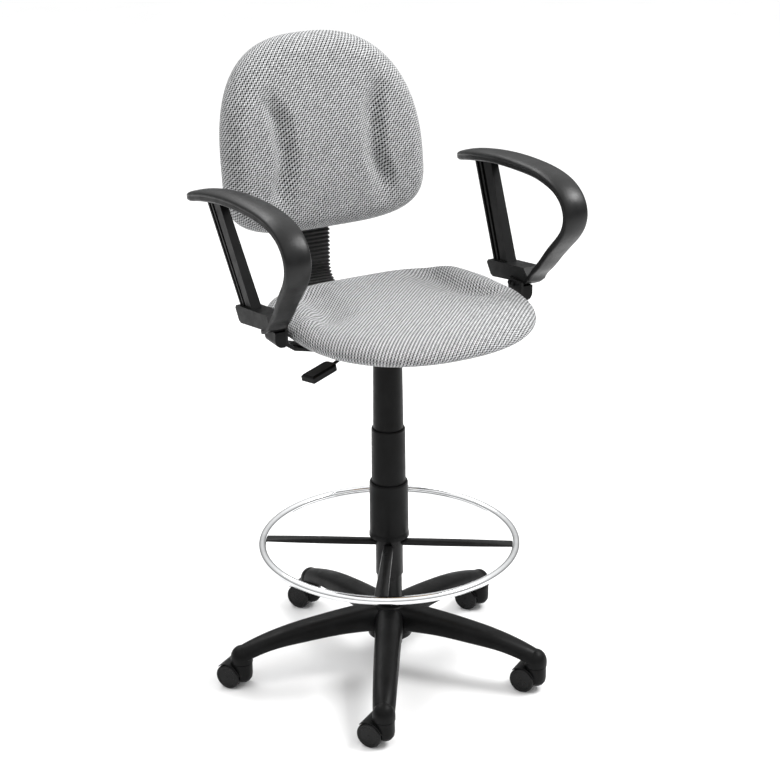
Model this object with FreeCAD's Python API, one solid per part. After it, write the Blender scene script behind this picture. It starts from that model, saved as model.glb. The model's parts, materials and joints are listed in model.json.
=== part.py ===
import FreeCAD, Part

# A drafting chair: a five-leg base on twin-wheel casters, a gas lift under a three-piece telescopic cover,
# a foot ring on four spokes, a padded seat, a padded back on a J-shaped bar, and two moulded loop arms.
#
# Millimetres. +Z is up, the sitter faces -Y, and the sitter's right hand is on the -X side.
# The origin is on the floor, under the axis that the seat swivels on.

import math
import os

from FreeCAD import Vector

# ---------------------------------------------------------------- driving dimensions

# Base and casters
LEGS = 5
LEG_ANGLE = -121.0            # direction of the first leg, in degrees from +X
STEM_CIRCLE_R = 299.5         # the caster stems stand on this circle
HUB_BOTTOM_Z = 70.0
HUB_TOP_Z = 139.0
TIP_BOTTOM_Z = 54.0
TIP_R = 20.3                  # half width of a leg where it meets its socket
SOCKET_R = 21.6
STEM_R = 5.5
STEM_TOP_Z = 80.0
WHEEL_R = 25.0
WHEEL_INNER = 8.5             # wheel faces, from the middle of the caster
WHEEL_OUTER = 24.5
CASTER_TRAIL = 20.0           # the axle stands this far behind the stem
CASTER_ANGLE = 123.5          # the way all five casters trail, in degrees from +X
AXLE_R = 4.0
RUNNING_GAP = 0.05            # radial clearance of a shaft in its bore

# Gas lift
TUBE_R = 24.0
TUBE_WALL = 1.5
TUBE_BOTTOM_Z = 48.0
TUBE_TOP_Z = 430.0
CYLINDER_R = 14.0
CYLINDER_BORE_R = 11.08
CYLINDER_BOTTOM_Z = 215.0
TAPER_BOTTOM_Z = 672.0
TAPER_TOP_Z = 705.0
TAPER_TOP_R = 13.0
ROD_R = 5.0
RELEASE_PIN_R = 4.0
RELEASE_PIN_TOP_Z = 709.0

# Foot ring
RING_R = 246.0                # centreline of the hoop
RING_TUBE_R = 8.0
RING_Z = 270.0
SPOKES = 4
SPOKE_ANGLE = -32.5
COLLAR_R = 26.5
COLLAR_WALL = 1.45
COLLAR_BOTTOM_Z = 204.0
COLLAR_TOP_Z = 283.0
RING_KNOB_ANGLE = 61.5
RING_KNOB_Z = 226.0

# Telescopic cover
LOWER_COVER_Z = (285.5, 400.0)
MIDDLE_COVER_Z = (372.0, 510.0)
TOP_COVER_Z = (474.0, 664.0)

# Seat
SEAT_HALF_WIDTH = 231.0
SEAT_FRONT_Y = -292.0
SEAT_REAR_Y = 140.0
SEAT_BOTTOM_Z = 722.0
SEAT_WAIST_Z = 758.0          # height where the cushion is widest
SEAT_TOP_Z = 779.0
SEAT_TUCK = 118.0             # how far the underside pulls in from the waist
SEAT_SHOULDER = 30.0          # how far the top pulls in from the waist
BOARD_INSET = 80.0
BOARD_Z = (723.0, 735.0)

# Seat mechanism
PLATE_Z = (720.0, 723.0)
HOUSING_HALF_WIDTH = 40.0
HOUSING_WALL = 3.0
HOUSING_Y = (-58.0, 140.0)
HOUSING_BOTTOM_Z = 670.0
LEVER_Y = 6.0
LEVER_PIVOT = (-28.0, 700.0)  # x and z of the pin that the lever tips on
LEVER_HUB_R = 5.5
PADDLE_START = (-120.0, -16.0, 667.5)
PADDLE_SWEEP = 18.0           # degrees towards the front
PADDLE_SLOPE = 9.5            # degrees below level
PADDLE_LENGTH = 70.0
PADDLE_WIDTH = 32.0
PADDLE_THICK = 13.0
DEPTH_KNOB_Y = 110.0

# Bar between the seat and the back
BAR_HALF_WIDTH = 22.5
BAR_THICK = 6.0
BAR_Z = 698.0                 # centreline of the level run
BAR_Y = 311.0                 # centreline of the upright
BAR_BEND_R = 55.0
BAR_START_Y = 62.0
BAR_TOP_Z = 1020.0
BELLOWS_START_Y = 172.0
BELLOWS_TOP_Z = 853.0
BELLOWS_PITCH = 8.2
BELLOWS_OUTER = (38.0, 15.0)  # half sizes of a ridge, across and through
BELLOWS_GROOVE = (34.5, 11.5)
BELLOWS_BORE = (27.0, 7.0)

# Back
BACK_HALF_WIDTH = 210.5
BACK_BOTTOM_Z = 844.0
BACK_WIDEST_Z = 961.0
BACK_TOP_Z = 1207.0
BACK_THICK = 75.0
BACK_TOP_POWER = 2.6          # roundness of the outline above the widest line
BACK_BOTTOM_POWER = 3.5
BACK_LEAN = ((870.0, 242.0), (1030.0, 259.0), (1200.0, 320.0))  # (height, middle of the thickness)
BOARD_FACES = (17.0, 26.0)    # back board, behind the middle of the thickness
CARRIER_Z = (900.0, 975.0)
BACK_KNOB_Z = 938.0

# Arms
ARM_BAR_X = (247.0, 283.0)
ARM_CORE_THICK = 9.0
BRACKET_THICK = 5.0
BRACKET_Y = (-80.0, -34.0)


# ---------------------------------------------------------------- helpers

def box(x, y, z):
    """A box from three (low, high) pairs."""
    return Part.makeBox(x[1] - x[0], y[1] - y[0], z[1] - z[0], Vector(x[0], y[0], z[0]))


def rod(radius, z0, z1, x=0.0, y=0.0):
    return Part.makeCylinder(radius, z1 - z0, Vector(x, y, z0))


def revolved(profile):
    """Turns a closed outline of (radius, height) points about the Z axis."""
    points = [Vector(r, 0, z) for r, z in profile]
    wire = Part.makePolygon(points + points[:1])
    return Part.Face(wire).revolve(Vector(0, 0, 0), Vector(0, 0, 1), 360)


def turned(shape, degrees):
    copy = shape.copy()
    copy.rotate(Vector(0, 0, 0), Vector(0, 0, 1), degrees)
    return copy


def tipped_to_y(shape):
    """Lays a shape built along Z along Y."""
    copy = shape.copy()
    copy.rotate(Vector(0, 0, 0), Vector(1, 0, 0), -90)
    return copy


def moved(shape, x=0.0, y=0.0, z=0.0):
    copy = shape.copy()
    copy.translate(Vector(x, y, z))
    return copy


def mirrored(shape):
    return shape.mirror(Vector(0, 0, 0), Vector(1, 0, 0))


def closed_spline(points):
    curve = Part.BSplineCurve()
    curve.interpolate(Points=points, PeriodicFlag=True)
    return Part.Wire([curve.toShape()])


def open_spline(points):
    curve = Part.BSplineCurve()
    curve.interpolate(Points=points)
    return curve.toShape()


def loft(wires, ruled=False):
    solid = Part.makeLoft(wires, True, ruled)
    if solid.Volume < 0:
        solid.reverse()
    return solid


def signed_power(value, power):
    return math.copysign(abs(value) ** power, value)


def fused(shapes):
    return shapes[0].multiFuse(shapes[1:]).removeSplitter()


def save(name, shape):
    if len(shape.Solids) == 1:
        shape = shape.Solids[0]
    shape.exportStep("parts/" + name + ".step")
    print(name, len(shape.Solids), shape.isValid(), round(shape.Volume / 1000.0, 1), "cm3")


# ---------------------------------------------------------------- base

def leg_section(r, half_width, top, bottom, middle, power):
    """A rounded upright section of a leg, at a distance r from the column, widest at the height middle."""
    points = []
    for i in range(24):
        t = 2 * math.pi * i / 24
        half_height = top - middle if math.sin(t) > 0 else middle - bottom
        y = half_width * signed_power(math.cos(t), 2 / power)
        z = middle + half_height * signed_power(math.sin(t), 2 / power)
        points.append(Vector(r, y, z))
    return closed_spline(points)


def channel_section(r, half_width, top, bottom):
    corners = [(-half_width, bottom), (half_width, bottom), (half_width * 0.8, top), (-half_width * 0.8, top)]
    points = [Vector(r, y, z) for y, z in corners]
    return Part.makePolygon(points + points[:1])


def base_leg():
    """One leg along +X: an arched arm with a rounded tip over a round socket, hollow underneath, cross ribbed."""
    # distance from the column, half width, top, bottom and widest heights, squareness
    stations = [
        (15, 27, 137, 84, 104, 2.8), (75, 26.5, 135, 88, 104, 2.8), (130, 25.5, 127.5, 87, 101, 2.8),
        (185, 24.5, 118.5, 82, 95, 2.7), (240, 23, 106, 75, 85, 2.5), (275, 21.8, 95.5, 65, 73, 2.2),
        (STEM_CIRCLE_R, TIP_R, 86.3, TIP_BOTTOM_Z + 1, 62, 2.0),
    ]
    arm = loft([leg_section(*station) for station in stations])
    dome = [(0.0, TIP_BOTTOM_Z), (SOCKET_R, TIP_BOTTOM_Z)]
    for i in range(10):
        t = math.radians(90.0 * i / 9)
        dome.append((SOCKET_R * math.cos(t), 62 + 25 * math.sin(t)))
    socket = moved(revolved(dome), x=STEM_CIRCLE_R)
    hollow_stations = [s[:4] for s in stations if 50 < s[0] < 270]
    hollow = loft([channel_section(r, w - 6, top - 9, bottom - 12) for r, w, top, bottom in hollow_stations], True)
    for r in (110, 150, 190, 230):
        hollow = hollow.cut(box((r - 1.5, r + 1.5), (-40, 40), (40, 150)))
    keep_socket = rod(SOCKET_R, 40, 100, STEM_CIRCLE_R)
    return arm.fuse(socket).cut(hollow.cut(keep_socket))


def five_star_base():
    hub = revolved([
        (TUBE_R, HUB_BOTTOM_Z), (38, HUB_BOTTOM_Z), (43, HUB_BOTTOM_Z + 4), (45, 86),
        (43, 108), (37, 128), (33, HUB_TOP_Z - 2), (31, HUB_TOP_Z), (TUBE_R, HUB_TOP_Z),
    ])
    leg = base_leg()
    body = fused([hub] + [turned(leg, LEG_ANGLE + 360.0 / LEGS * k) for k in range(LEGS)])
    body = body.cut(rod(TUBE_R, HUB_BOTTOM_Z - 5, HUB_TOP_Z + 5))
    for x, y in stem_places():
        body = body.cut(rod(STEM_R, TIP_BOTTOM_Z - 1, STEM_TOP_Z, x, y))
    return body


def stem_places():
    places = []
    for k in range(LEGS):
        angle = math.radians(LEG_ANGLE + 360.0 / LEGS * k)
        places.append((STEM_CIRCLE_R * math.cos(angle), STEM_CIRCLE_R * math.sin(angle)))
    return places


# ---------------------------------------------------------------- casters

def caster_stems():
    """Steel stems pressed into the legs, each with a washer that the caster turns under."""
    stem = revolved([
        (0, 27), (STEM_R - 0.7, 27), (STEM_R, 27.7), (STEM_R, 53.2), (9.5, 53.2), (9.5, TIP_BOTTOM_Z),
        (STEM_R, TIP_BOTTOM_Z), (STEM_R, STEM_TOP_Z - 1), (STEM_R - 1, STEM_TOP_Z), (0, STEM_TOP_Z),
    ])
    return Part.makeCompound([moved(stem, x, y) for x, y in stem_places()])


def caster_hood():
    """A hood built about its stem, trailing along +X: a round boss, a fender over both wheels, a web between."""
    boss = revolved([(0, 13), (11, 13), (16, 15.5), (19.5, 21), (20.5, 28), (20.5, 52), (19.5, 53), (0, 53)])
    fender_r = 27.8
    drum = moved(tipped_to_y(rod(fender_r, -WHEEL_OUTER, WHEEL_OUTER)), x=CASTER_TRAIL, z=WHEEL_R)
    fender = drum.common(box((-15, 39), (-30, 30), (33, 53)))
    web_half = WHEEL_INNER - 0.8
    web = box((0, CASTER_TRAIL), (-web_half, web_half), (14, 50))
    bearing = moved(tipped_to_y(rod(11, -web_half, web_half)), x=CASTER_TRAIL, z=WHEEL_R)
    hood = fused([boss, fender, web, bearing])
    for side in (-1, 1):
        y0, y1 = sorted((side * web_half, side * 40))
        well = moved(tipped_to_y(rod(WHEEL_R + 1.3, -y1, -y0)), x=CASTER_TRAIL, z=WHEEL_R)
        hood = hood.cut(well)
    hood = hood.cut(rod(STEM_R + RUNNING_GAP, 26, 60))
    axle_hole = moved(tipped_to_y(rod(AXLE_R + RUNNING_GAP, -40, 40)), x=CASTER_TRAIL, z=WHEEL_R)
    return hood.cut(axle_hole)


def caster_wheel(side):
    """One wheel of a pair, on the +Y or -Y side: a rounded tread, a raised rim and a blind bore for the axle."""
    blind = WHEEL_OUTER - 3
    wheel = revolved([
        (AXLE_R, WHEEL_INNER), (WHEEL_R - 2, WHEEL_INNER), (WHEEL_R, WHEEL_INNER + 2), (WHEEL_R, WHEEL_OUTER - 3),
        (WHEEL_R - 0.8, WHEEL_OUTER - 1), (WHEEL_R - 2.5, WHEEL_OUTER), (19.5, WHEEL_OUTER),
        (18.7, WHEEL_OUTER - 0.8), (0, WHEEL_OUTER - 0.3), (0, blind), (AXLE_R, blind),
    ])
    wheel = tipped_to_y(wheel)
    if side < 0:
        wheel.rotate(Vector(0, 0, 0), Vector(0, 0, 1), 180)
    return moved(wheel, x=CASTER_TRAIL, z=WHEEL_R)


def caster_axle():
    end = WHEEL_OUTER - 3
    return moved(tipped_to_y(rod(AXLE_R, -end, end)), x=CASTER_TRAIL, z=WHEEL_R)


def save_casters():
    pieces = {
        "hood": caster_hood(), "axle": caster_axle(),
        "wheel_left": caster_wheel(1), "wheel_right": caster_wheel(-1),
    }
    for number, (x, y) in enumerate(stem_places(), start=1):
        for name, piece in pieces.items():
            save("caster_%d_%s" % (number, name), moved(turned(piece, CASTER_ANGLE), x, y))


# ---------------------------------------------------------------- gas lift

def gas_lift_tube():
    inner = TUBE_R - TUBE_WALL
    floor_top = TUBE_BOTTOM_Z + 4
    return revolved([
        (ROD_R + RUNNING_GAP, TUBE_BOTTOM_Z), (TUBE_R - 2, TUBE_BOTTOM_Z), (TUBE_R, TUBE_BOTTOM_Z + 2),
        (TUBE_R, TUBE_TOP_Z), (inner, TUBE_TOP_Z), (inner, floor_top), (ROD_R + RUNNING_GAP, floor_top),
    ])


def guide_bushing():
    """Plastic sleeve in the top of the tube, which the cylinder slides and turns in."""
    inner = CYLINDER_R + RUNNING_GAP
    return revolved([
        (inner, TUBE_TOP_Z - 70), (TUBE_R - TUBE_WALL, TUBE_TOP_Z - 70), (TUBE_R - TUBE_WALL, TUBE_TOP_Z),
        (TUBE_R, TUBE_TOP_Z), (TUBE_R, TUBE_TOP_Z + 2), (inner, TUBE_TOP_Z + 2),
    ])


def thrust_bearing():
    """Two washers with a ball cage between them, on the floor of the tube."""
    z = TUBE_BOTTOM_Z + 4
    return revolved([
        (ROD_R + 0.2, z), (14, z), (14, z + 1), (12.5, z + 1), (12.5, z + 3), (14, z + 3), (14, z + 4), (ROD_R + 0.2, z + 4),
    ])


def piston_rod():
    shoulder = TUBE_BOTTOM_Z + 8.05
    piston_z = 400.0
    return revolved([
        (0, 43), (ROD_R - 0.8, 43), (ROD_R, 43.8), (ROD_R, shoulder), (9, shoulder), (9, shoulder + 4), (ROD_R, shoulder + 4),
        (ROD_R, piston_z), (CYLINDER_BORE_R - 0.06, piston_z), (CYLINDER_BORE_R - 0.06, piston_z + 12), (0, piston_z + 12),
    ])


def retaining_clip():
    return revolved([(ROD_R, 45), (9.5, 45), (9.5, 47.5), (ROD_R, 47.5)])


def gas_lift_cylinder():
    bore = CYLINDER_BORE_R
    seal = ROD_R + RUNNING_GAP
    pin_hole = RELEASE_PIN_R + RUNNING_GAP
    return revolved([
        (seal, CYLINDER_BOTTOM_Z), (CYLINDER_R - 1, CYLINDER_BOTTOM_Z), (CYLINDER_R, CYLINDER_BOTTOM_Z + 1),
        (CYLINDER_R, TAPER_BOTTOM_Z), (TAPER_TOP_R, TAPER_TOP_Z), (pin_hole, TAPER_TOP_Z), (pin_hole, TAPER_TOP_Z - 15),
        (bore, TAPER_TOP_Z - 15), (bore, CYLINDER_BOTTOM_Z + 20), (seal, CYLINDER_BOTTOM_Z + 20),
    ])


def release_pin():
    return rod(RELEASE_PIN_R, TAPER_TOP_Z - 14, RELEASE_PIN_TOP_Z)


# ---------------------------------------------------------------- telescopic cover

def cover_lower():
    z0, z1 = LOWER_COVER_Z
    return revolved([
        (TUBE_R, z0), (38.6, z0), (38.6, z0 + 6), (37.5, z0 + 11), (37.0, z1 - 3), (36.0, z1), (33.6, z1),
        (33.6, z1 - 3), (35.0, z1 - 4), (35.4, z0 + 12), (35.4, z0 + 3), (TUBE_R, z0 + 3),
    ])


def cover_middle():
    z0, z1 = MIDDLE_COVER_Z
    return revolved([
        (31.0, z0), (34.5, z0), (34.5, z0 + 4), (32.9, z0 + 5), (32.2, z1 - 2), (31.5, z1), (29.5, z1),
        (29.5, z1 - 3), (30.3, z1 - 4),
    ])


def cover_top():
    z0, z1 = TOP_COVER_Z
    return revolved([
        (27.0, z0), (29.9, z0), (29.9, z0 + 4), (28.9, z0 + 5), (28.9, 520), (27.3, z1 - 1), (26.5, z1),
        (CYLINDER_R, z1), (CYLINDER_R, z1 - 3), (25.2, z1 - 3), (26.8, 520),
    ])


# ---------------------------------------------------------------- foot ring

def foot_ring():
    return Part.makeTorus(RING_R, RING_TUBE_R, Vector(0, 0, RING_Z))


def foot_ring_spokes(ring, collar_blank):
    """Four oval tubes, pressed flat where they are welded to the hoop."""
    # distance from the column, half width, half height
    stations = [(COLLAR_R - 1, 9.5, 6.5), (70, 10.5, 6.5), (150, 11.5, 6), (205, 12.5, 4.5), (RING_R - 5, 13, 2.6)]
    sections = []
    for r, half_width, half_height in stations:
        points = []
        for i in range(16):
            t = 2 * math.pi * i / 16
            points.append(Vector(r, half_width * math.cos(t), RING_Z + half_height * math.sin(t)))
        sections.append(closed_spline(points))
    spoke = loft(sections).cut(ring).cut(collar_blank)
    return Part.makeCompound([turned(spoke, SPOKE_ANGLE + 360.0 / SPOKES * k).Solids[0] for k in range(SPOKES)])


def collar_solid():
    return rod(COLLAR_R, COLLAR_BOTTOM_Z, COLLAR_TOP_Z)


def foot_ring_collar():
    """Steel sleeve around the column, with a threaded boss for the clamp screw."""
    boss = moved(tipped_to_y(rod(9, -12, 0)), y=-COLLAR_R + 1)
    boss.rotate(Vector(0, 0, 0), Vector(0, 0, 1), 180)
    boss = moved(turned(boss, RING_KNOB_ANGLE - 90), z=RING_KNOB_Z)
    collar = collar_solid().fuse(boss)
    bore = rod(COLLAR_R - COLLAR_WALL, COLLAR_BOTTOM_Z - 1, COLLAR_TOP_Z + 1)
    return collar.cut(bore).cut(ring_knob_hole())


def radial_pin(radius, start, end, angle, z):
    """A round pin that points away from the column."""
    pin = Part.makeCylinder(radius, end - start, Vector(start, 0, z), Vector(1, 0, 0))
    return turned(pin, angle)


def ring_knob_hole():
    return radial_pin(4 + RUNNING_GAP, 20, 60, RING_KNOB_ANGLE, RING_KNOB_Z)


def knob_head(radius, height, lobes=6):
    """A lobed hand knob standing on the XY plane."""
    head = Part.makeCylinder(radius, height)
    scallop_r = radius * 0.36
    for i in range(lobes):
        angle = 2 * math.pi * i / lobes
        x = radius * 1.18 * math.cos(angle)
        y = radius * 1.18 * math.sin(angle)
        head = head.cut(Part.makeCylinder(scallop_r, height, Vector(x, y, 0)))
    rim = [edge for edge in head.Edges if all(abs(v.Z - height) < 0.01 for v in edge.Vertexes)]
    return head.makeChamfer(1.2, rim)


def hand_screw(stud_length, head_radius, head_height):
    """A hand knob whose threaded stud starts at the origin and runs up +Z to the head."""
    stud = rod(4, 0, stud_length + 2)
    return stud.fuse(moved(knob_head(head_radius, head_height), z=stud_length))


def foot_ring_knob():
    start = COLLAR_R - COLLAR_WALL + 0.1
    screw = hand_screw(24, 17, 15)
    screw.rotate(Vector(0, 0, 0), Vector(0, 1, 0), 90)
    return turned(moved(screw, x=start, z=RING_KNOB_Z), RING_KNOB_ANGLE)


def foot_ring_bush():
    """Thin plastic sleeve between the column and the collar, with a lip on top."""
    inner = TUBE_R + RUNNING_GAP
    outer = COLLAR_R - COLLAR_WALL - RUNNING_GAP
    return revolved([
        (inner, COLLAR_BOTTOM_Z), (outer, COLLAR_BOTTOM_Z), (outer, COLLAR_TOP_Z + 0.3), (COLLAR_R + 0.5, COLLAR_TOP_Z + 0.3),
        (COLLAR_R + 0.5, COLLAR_TOP_Z + 1.7), (inner, COLLAR_TOP_Z + 1.7),
    ])


# ---------------------------------------------------------------- seat

def seat_outline(inset, z):
    """The seat in plan, pulled in by inset: round at the front, squarer at the rear."""
    centre_y = (SEAT_FRONT_Y + SEAT_REAR_Y) / 2
    half_depth = (SEAT_REAR_Y - SEAT_FRONT_Y) / 2 - inset
    half_width = SEAT_HALF_WIDTH - inset
    points = []
    for i in range(36):
        t = 2 * math.pi * i / 36
        power = 2.25 if math.sin(t) < 0 else 3.6
        x = half_width * signed_power(math.cos(t), 2 / power)
        y = centre_y + half_depth * signed_power(math.sin(t), 2 / power)
        points.append(Vector(x, y, z))
    return closed_spline(points)


def seat_cushion():
    """Deep at the front, tucked in underneath, with a pocket below for the board."""
    steps = 6
    sections = []
    for i in range(2 * steps + 1):
        a = math.pi / 2 * (i - steps) / steps
        below = i < steps
        tuck = SEAT_TUCK if below else SEAT_SHOULDER
        rise = SEAT_WAIST_Z - SEAT_BOTTOM_Z if below else SEAT_TOP_Z - SEAT_WAIST_Z
        sections.append(seat_outline(tuck * (1 - math.cos(a)), SEAT_WAIST_Z + rise * math.sin(a)))
    pocket_depth = BOARD_Z[1] - SEAT_BOTTOM_Z + 2
    pocket = Part.Face(seat_outline(BOARD_INSET - 0.5, SEAT_BOTTOM_Z - 2)).extrude(Vector(0, 0, pocket_depth))
    return loft(sections, True).cut(pocket)


def seat_board():
    return Part.Face(seat_outline(BOARD_INSET, BOARD_Z[0])).extrude(Vector(0, 0, BOARD_Z[1] - BOARD_Z[0]))


# ---------------------------------------------------------------- seat mechanism

def bar_hole(y, gap):
    return box((-BAR_HALF_WIDTH - gap, BAR_HALF_WIDTH + gap), y, (BAR_Z - BAR_THICK / 2 - gap, BAR_Z + BAR_THICK / 2 + gap))


def seat_mechanism():
    """Pressed-steel box under the seat: plate, side walls, taper socket, sleeve for the bar, lever lugs."""
    w = HOUSING_HALF_WIDTH
    plate = box((-105, 105), (-110, 58), PLATE_Z)
    corner = [edge for edge in plate.Edges if abs(edge.Vertexes[0].Z - edge.Vertexes[1].Z) > 1]
    plate = plate.makeFillet(18, corner)
    walls = box((-w, w), HOUSING_Y, (HOUSING_BOTTOM_Z, PLATE_Z[0]))
    inside_y = (HOUSING_Y[0] + HOUSING_WALL, HOUSING_Y[1] + 5)
    inside = box((-w + HOUSING_WALL, w - HOUSING_WALL), inside_y, (HOUSING_BOTTOM_Z + HOUSING_WALL, PLATE_Z[0] + 1))
    slope = Part.makePolygon([
        Vector(-60, 60, HOUSING_BOTTOM_Z - 1), Vector(-60, 160, HOUSING_BOTTOM_Z - 1),
        Vector(-60, 160, BAR_Z - 8), Vector(-60, 60, HOUSING_BOTTOM_Z - 1),
    ])
    walls = walls.cut(inside).cut(Part.Face(slope).extrude(Vector(120, 0, 0)))
    socket = rod(20, HOUSING_BOTTOM_Z - 2, TAPER_TOP_Z - 7)
    sleeve_x = (-w + HOUSING_WALL, w - HOUSING_WALL)
    sleeve = box(sleeve_x, (78, HOUSING_Y[1]), (BAR_Z - 6.5, BAR_Z + 6.5))
    boss = rod(8, BAR_Z - 14, BAR_Z - 5, 0, DEPTH_KNOB_Y)
    body = fused([plate, walls, socket, sleeve, boss])
    body = body.cut(bar_hole((60, 160), 0.15))
    body = body.cut(rod(4 + RUNNING_GAP, 650, BAR_Z, 0, DEPTH_KNOB_Y))
    taper = Part.makeCone(CYLINDER_R, TAPER_TOP_R, TAPER_TOP_Z - TAPER_BOTTOM_Z, Vector(0, 0, TAPER_BOTTOM_Z))
    body = body.cut(taper).cut(rod(CYLINDER_R, 660, TAPER_BOTTOM_Z)).cut(rod(TAPER_TOP_R, TAPER_TOP_Z, 710))
    lever_slot = box((-w - 1, -w + HOUSING_WALL + 1), (LEVER_Y - 10, LEVER_Y + 10), (680, 716))
    body = body.cut(lever_slot)
    px, pz = LEVER_PIVOT
    for side in (-1, 1):
        y0, y1 = sorted((LEVER_Y + side * 10, LEVER_Y + side * 13))
        lug = box((px - 7, px + 7), (y0, y1), (pz - 7, PLATE_Z[0] + 1))
        body = body.fuse(lug)
    return body.cut(lever_pivot_pin()).removeSplitter()


def lever_pivot_pin():
    px, pz = LEVER_PIVOT
    return Part.makeCylinder(2.5, 26, Vector(px, LEVER_Y - 13, pz), Vector(0, 1, 0))


def on_paddle(shape):
    """Puts a shape built along +X from the origin onto the paddle, from its inner end outwards."""
    copy = shape.copy()
    copy.rotate(Vector(0, 0, 0), Vector(0, 0, 1), 180 + PADDLE_SWEEP)
    copy.rotate(Vector(0, 0, 0), Vector(0, 1, 0), -PADDLE_SLOPE)
    copy.translate(Vector(*PADDLE_START))
    return copy


def lever_rod():
    """A bent rod with a hub on the pivot pin and a finger over the release pin."""
    px, pz = LEVER_PIVOT
    rod_r = 3.2
    pivot = Vector(px, LEVER_Y, pz)
    knee = Vector(*PADDLE_START)
    inner = Part.makeCylinder(rod_r, (knee - pivot).Length, pivot, knee - pivot)
    outer = on_paddle(Part.makeCylinder(rod_r, PADDLE_LENGTH * 0.6, Vector(0, 0, 0), Vector(1, 0, 0)))
    hub = Part.makeCylinder(LEVER_HUB_R, 18, Vector(px, LEVER_Y - 9, pz), Vector(0, 1, 0))
    post = box((px - 3, px + 3), (LEVER_Y - 7, LEVER_Y + 5), (pz, RELEASE_PIN_TOP_Z + 3.5))
    finger = box((px - 3, 5), (-3.5, LEVER_Y + 5), (RELEASE_PIN_TOP_Z + 0.5, RELEASE_PIN_TOP_Z + 3.5))
    pin_hole = Part.makeCylinder(2.5 + RUNNING_GAP, 40, Vector(px, LEVER_Y - 20, pz), Vector(0, 1, 0))
    return fused([inner, Part.makeSphere(rod_r, knee), outer, hub, post, finger]).cut(pin_hole)


def lever_paddle(lever):
    half_width = PADDLE_WIDTH / 2
    half_thick = PADDLE_THICK / 2
    paddle = box((4, PADDLE_LENGTH), (-half_width, half_width), (-half_thick, half_thick))
    inner_corners = [e for e in paddle.Edges if e.BoundBox.XMax < 5 and e.BoundBox.ZLength > 1]
    paddle = paddle.makeFillet(11, inner_corners)
    rim = [e for e in paddle.Edges if e.BoundBox.ZMin > half_thick - 0.1]
    return on_paddle(paddle.makeChamfer(3.5, rim)).cut(lever)


def depth_knob():
    """Hand screw under the seat that locks the bar."""
    length = 32.0
    screw = hand_screw(length, 19, 18)
    screw.rotate(Vector(0, 0, 0), Vector(1, 0, 0), 180)
    return moved(screw, y=DEPTH_KNOB_Y, z=BAR_Z - BAR_THICK / 2 - 0.1)


# ---------------------------------------------------------------- bar and bellows

def back_bar():
    """Flat steel bar: level under the seat, one bend, then upright behind the back."""
    half = BAR_THICK / 2
    bend_y = BAR_Y - BAR_BEND_R
    bend_z = BAR_Z + BAR_BEND_R
    centre = Vector(-BAR_HALF_WIDTH, bend_y, bend_z)

    def bend(radius, reverse):
        def at(degrees):
            a = math.radians(degrees)
            return centre + Vector(0, radius * math.cos(a), radius * math.sin(a))
        stops = (0, -45, -90) if reverse else (-90, -45, 0)
        return Part.Arc(*[at(d) for d in stops]).toShape()

    x = -BAR_HALF_WIDTH
    outer = [Vector(x, BAR_START_Y, BAR_Z - half), Vector(x, bend_y, BAR_Z - half)]
    outer_up = [Vector(x, BAR_Y + half, bend_z), Vector(x, BAR_Y + half, BAR_TOP_Z)]
    inner_up = [Vector(x, BAR_Y - half, BAR_TOP_Z), Vector(x, BAR_Y - half, bend_z)]
    inner = [Vector(x, bend_y, BAR_Z + half), Vector(x, BAR_START_Y, BAR_Z + half)]
    edges = [
        Part.makeLine(*outer), bend(BAR_BEND_R + half, False), Part.makeLine(*outer_up),
        Part.makeLine(outer_up[1], inner_up[0]), Part.makeLine(*inner_up), bend(BAR_BEND_R - half, True),
        Part.makeLine(*inner), Part.makeLine(inner[1], outer[0]),
    ]
    return Part.Face(Part.Wire(edges)).extrude(Vector(2 * BAR_HALF_WIDTH, 0, 0))


def bar_frame(distance):
    """Centre and through-thickness direction of the bar, at a distance along the bellows from its start."""
    level = BAR_Y - BAR_BEND_R - BELLOWS_START_Y
    bend = math.pi / 2 * BAR_BEND_R
    if distance <= level:
        return Vector(0, BELLOWS_START_Y + distance, BAR_Z), Vector(0, 0, 1)
    if distance <= level + bend:
        a = (distance - level) / BAR_BEND_R
        centre = Vector(0, BAR_Y - BAR_BEND_R, BAR_Z + BAR_BEND_R)
        inward = Vector(0, -math.sin(a), math.cos(a))
        return centre - inward * BAR_BEND_R, inward
    return Vector(0, BAR_Y, BAR_Z + BAR_BEND_R + distance - level - bend), Vector(0, -1, 0)


def bellows_section(distance, half_sizes):
    centre, through = bar_frame(distance)
    a, b = half_sizes
    across = Vector(1, 0, 0)
    corners = [(-a, -b), (a, -b), (a, b), (-a, b)]
    points = [centre + across * u + through * v for u, v in corners]
    return Part.makePolygon(points + points[:1])


def back_bellows():
    """Folded rubber sleeve over the bar."""
    length = (BAR_Y - BAR_BEND_R - BELLOWS_START_Y) + math.pi / 2 * BAR_BEND_R + BELLOWS_TOP_Z - BAR_Z - BAR_BEND_R
    folds = int(round(length / BELLOWS_PITCH))
    half_pitch = length / folds / 2
    outer = []
    bore = []
    for i in range(2 * folds + 1):
        half_sizes = BELLOWS_GROOVE if i % 2 == 0 else BELLOWS_OUTER
        outer.append(bellows_section(i * half_pitch, half_sizes))
        bore.append(bellows_section(i * half_pitch, BELLOWS_BORE))
    return loft(outer, True).cut(loft(bore, True))


# ---------------------------------------------------------------- back

def back_middle_y(z):
    """The middle of the back's thickness at a height: a curve through the three points of BACK_LEAN."""
    total = 0.0
    for i, (zi, yi) in enumerate(BACK_LEAN):
        weight = yi
        for j, (zj, _) in enumerate(BACK_LEAN):
            if j != i:
                weight *= (z - zj) / (zi - zj)
        total += weight
    return total


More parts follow.
